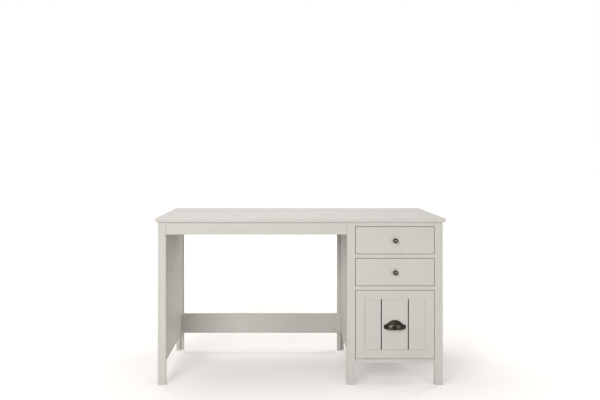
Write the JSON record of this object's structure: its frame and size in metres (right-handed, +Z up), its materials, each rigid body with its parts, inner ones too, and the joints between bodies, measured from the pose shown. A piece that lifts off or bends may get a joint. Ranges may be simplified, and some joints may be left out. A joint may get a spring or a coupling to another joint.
{
  "type": "pedestal writing desk",
  "caption": "Writing desk: panel-sided left frame, open knee space with a low rear stretcher, and a right-hand pedestal of slide-out drawers with knobs and a cup pull.",
  "frame": {"origin": "on the floor, under the middle of the tabletop", "axes": "+Z up, +X to the sitter's right towards the drawer pedestal, -Y the front, towards the sitter"},
  "size_m": [1.32, 0.611, 0.76],
  "materials": {
    "painted_wood": "satin warm white paint on board",
    "drawer_board": "smooth pale laminated board",
    "dark_board": "matt brown-black face",
    "dark_bronze": "antique dark bronze plating on a zinc casting, rubbed bright on high spots",
    "zinc_steel": "bright zinc-plated sheet steel",
    "cap_plastic": "matt off-white moulded plastic",
    "plain_timber": "unfinished beech and softwood"
  },
  "bodies": {
    "desk_frame": {"tabletop": "painted_wood", "left_front_leg": "painted_wood", "left_rear_leg": "painted_wood", "left_side_panel": "painted_wood", "pedestal_left_front_leg": "painted_wood", "pedestal_left_rear_leg": "painted_wood", "pedestal_left_side_panel": "painted_wood", "pedestal_right_front_leg": "painted_wood", "pedestal_right_rear_leg": "painted_wood", "pedestal_right_side_panel": "painted_wood", "pedestal_back_panel": "painted_wood", "pedestal_bottom_board": "painted_wood", "top_front_rail": "painted_wood", "upper_front_rail": "painted_wood", "lower_front_rail": "painted_wood", "bottom_front_rail": "painted_wood", "knee_apron": "painted_wood", "rear_apron": "painted_wood", "back_stretcher": "painted_wood", "slide_channels": "zinc_steel", "slide_screws": "zinc_steel", "tabletop_screws": "zinc_steel", "cam_locks": "zinc_steel", "cam_bolts": "zinc_steel", "cam_caps": "cap_plastic", "frame_dowels": "plain_timber", "slide_packers": "plain_timber", "tabletop_cleats": "plain_timber"},
    "upper_drawer": {"upper_drawer_front": "painted_wood", "upper_drawer_knob": "dark_bronze", "upper_knob_screw": "zinc_steel", "upper_slide_members": "zinc_steel", "upper_drawer_left_side": "drawer_board", "upper_drawer_right_side": "drawer_board", "upper_drawer_back": "drawer_board", "upper_drawer_bottom": "drawer_board"},
    "middle_drawer": {"middle_drawer_front": "painted_wood", "middle_drawer_knob": "dark_bronze", "middle_knob_screw": "zinc_steel", "middle_slide_members": "zinc_steel", "middle_drawer_left_side": "drawer_board", "middle_drawer_right_side": "drawer_board", "middle_drawer_back": "drawer_board", "middle_drawer_bottom": "drawer_board"},
    "deep_drawer": {"deep_front_left_stile": "painted_wood", "deep_front_right_stile": "painted_wood", "deep_front_top_rail": "painted_wood", "deep_front_bottom_rail": "painted_wood", "deep_front_left_plank": "painted_wood", "deep_front_middle_plank": "painted_wood", "deep_front_right_plank": "painted_wood", "deep_front_backing": "dark_board", "deep_drawer_cup_pull": "dark_bronze", "cup_pull_screws": "zinc_steel", "deep_slide_members": "zinc_steel", "deep_drawer_left_side": "drawer_board", "deep_drawer_right_side": "drawer_board", "deep_drawer_back": "drawer_board", "deep_drawer_bottom": "drawer_board"}
  },
  "joints": [
    {"name": "upper_drawer_slide", "type": "slide", "parent": "desk_frame", "child": "upper_drawer", "axis": [0, -1, 0], "range_m": [0, 0.3]},
    {"name": "middle_drawer_slide", "type": "slide", "parent": "desk_frame", "child": "middle_drawer", "axis": [0, -1, 0], "range_m": [0, 0.3]},
    {"name": "deep_drawer_slide", "type": "slide", "parent": "desk_frame", "child": "deep_drawer", "axis": [0, -1, 0], "range_m": [0, 0.3]}
  ]
}
